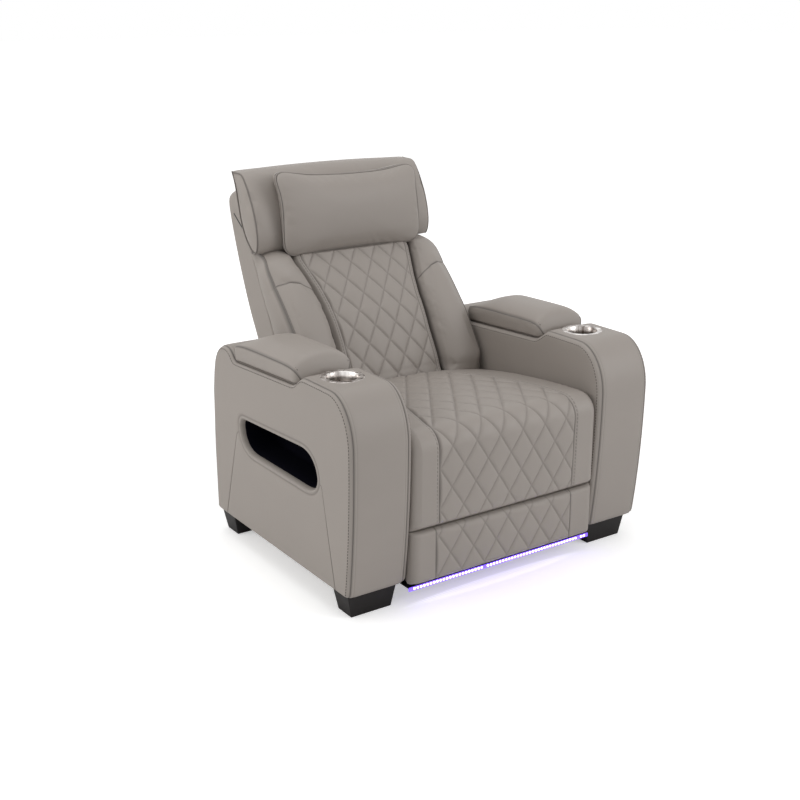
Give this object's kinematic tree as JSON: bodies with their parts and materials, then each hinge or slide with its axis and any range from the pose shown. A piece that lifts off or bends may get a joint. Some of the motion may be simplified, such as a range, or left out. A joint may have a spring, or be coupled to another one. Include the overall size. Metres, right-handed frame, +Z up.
{
  "type": "cinema recliner seat",
  "caption": "Powered home cinema recliner with quilted leather seat, back and footrest, tilting headrest, lidded storage arms, cup holders, side pockets and a light strip.",
  "frame": {"origin": "on the floor, under the middle of the seat's box", "axes": "+Z up, -Y towards the sitter's feet (front), +X to the right of someone who looks at the front"},
  "size_m": [0.99, 1.03, 1.01],
  "materials": {
    "leather": "satin, fine grain",
    "black_plastic": "matte",
    "black_steel": "satin black",
    "steel": "brushed",
    "plywood": "bare",
    "webbing": "woven",
    "light": "clear, lit",
    "foot_black": "satin black"
  },
  "bodies": {
    "base": {"arm_outer_panel_left": "leather", "arm_inner_panel_left": "leather", "arm_top_band_left": "leather", "side_pocket_left": "black_plastic", "storage_bin_left": "black_plastic", "cup_holder_left": "steel", "lid_hinge_left": "black_steel", "side_plate_left": "black_steel", "foot_front_left": "foot_black", "foot_rear_left": "foot_black", "seat_rail_left": "plywood", "arm_outer_panel_right": "leather", "arm_inner_panel_right": "leather", "arm_top_band_right": "leather", "side_pocket_right": "black_plastic", "storage_bin_right": "black_plastic", "cup_holder_right": "steel", "lid_hinge_right": "black_steel", "side_plate_right": "black_steel", "foot_front_right": "foot_black", "foot_rear_right": "foot_black", "seat_rail_right": "plywood", "seat_cushion": "leather", "rear_cover": "leather", "seat_front_rail": "plywood", "seat_rear_rail": "plywood", "seat_deck": "webbing", "front_cross_rail": "black_steel", "rear_cross_rail": "black_steel", "light_shelf": "black_steel", "footrest_motor": "black_plastic", "recline_motor": "black_plastic", "control_box": "black_plastic", "power_inlet": "black_plastic", "control_panel": "black_plastic", "light_strip": "light"},
    "footrest": {"footrest_upper_pad": "leather", "footrest_lower_pad": "leather", "footrest_board": "plywood", "footrest_bar_left": "black_steel", "footrest_bar_right": "black_steel", "footrest_tube": "black_steel"},
    "back": {"back_centre_cushion": "leather", "back_bolster_left": "leather", "back_bolster_right": "leather", "back_shell": "leather", "recline_tube": "black_steel", "back_upright_left": "black_steel", "back_upright_right": "black_steel", "back_cross_bar": "black_steel", "headrest_bracket": "black_steel"},
    "headrest": {"headrest_core": "leather", "headrest_pillow": "leather", "headrest_rod": "black_steel"},
    "lid_left": {"lid_left": "leather"},
    "lid_right": {"lid_right": "leather"},
    "button_open": {"button_open": "steel"},
    "button_close": {"button_close": "steel"},
    "button_up": {"button_up": "steel"},
    "button_light": {"button_light": "steel"}
  },
  "joints": [
    {"name": "footrest_fold", "type": "hinge", "parent": "base", "child": "footrest", "pos_m": [0, -0.451, 0.412], "axis": [-1, 0, 0], "range_deg": [0, 90]},
    {"name": "back_recline", "type": "hinge", "parent": "base", "child": "back", "pos_m": [0, 0.11, 0.38], "axis": [-1, 0, 0], "range_deg": [0, 35]},
    {"name": "headrest_tilt", "type": "hinge", "parent": "back", "child": "headrest", "pos_m": [0, 0.272, 0.79], "axis": [1, 0, 0], "range_deg": [0, 35]},
    {"name": "lid_left_open", "type": "hinge", "parent": "base", "child": "lid_left", "pos_m": [-0.4025, 0.0988, 0.58413], "axis": [-1, 0, 0], "range_deg": [0, 92]},
    {"name": "lid_right_open", "type": "hinge", "parent": "base", "child": "lid_right", "pos_m": [0.4025, 0.0988, 0.58413], "axis": [-1, 0, 0], "range_deg": [0, 92]},
    {"name": "button_open_press", "type": "slide", "parent": "base", "child": "button_open", "axis": [-1, 0, 0], "range_m": [0, 0.0012], "stiffness_N_per_m": 1200},
    {"name": "button_close_press", "type": "slide", "parent": "base", "child": "button_close", "axis": [-1, 0, 0], "range_m": [0, 0.0012], "stiffness_N_per_m": 1200},
    {"name": "button_up_press", "type": "slide", "parent": "base", "child": "button_up", "axis": [-1, 0, 0], "range_m": [0, 0.0012], "stiffness_N_per_m": 1200},
    {"name": "button_light_press", "type": "slide", "parent": "base", "child": "button_light", "axis": [-1, 0, 0], "range_m": [0, 0.0012], "stiffness_N_per_m": 1200}
  ]
}
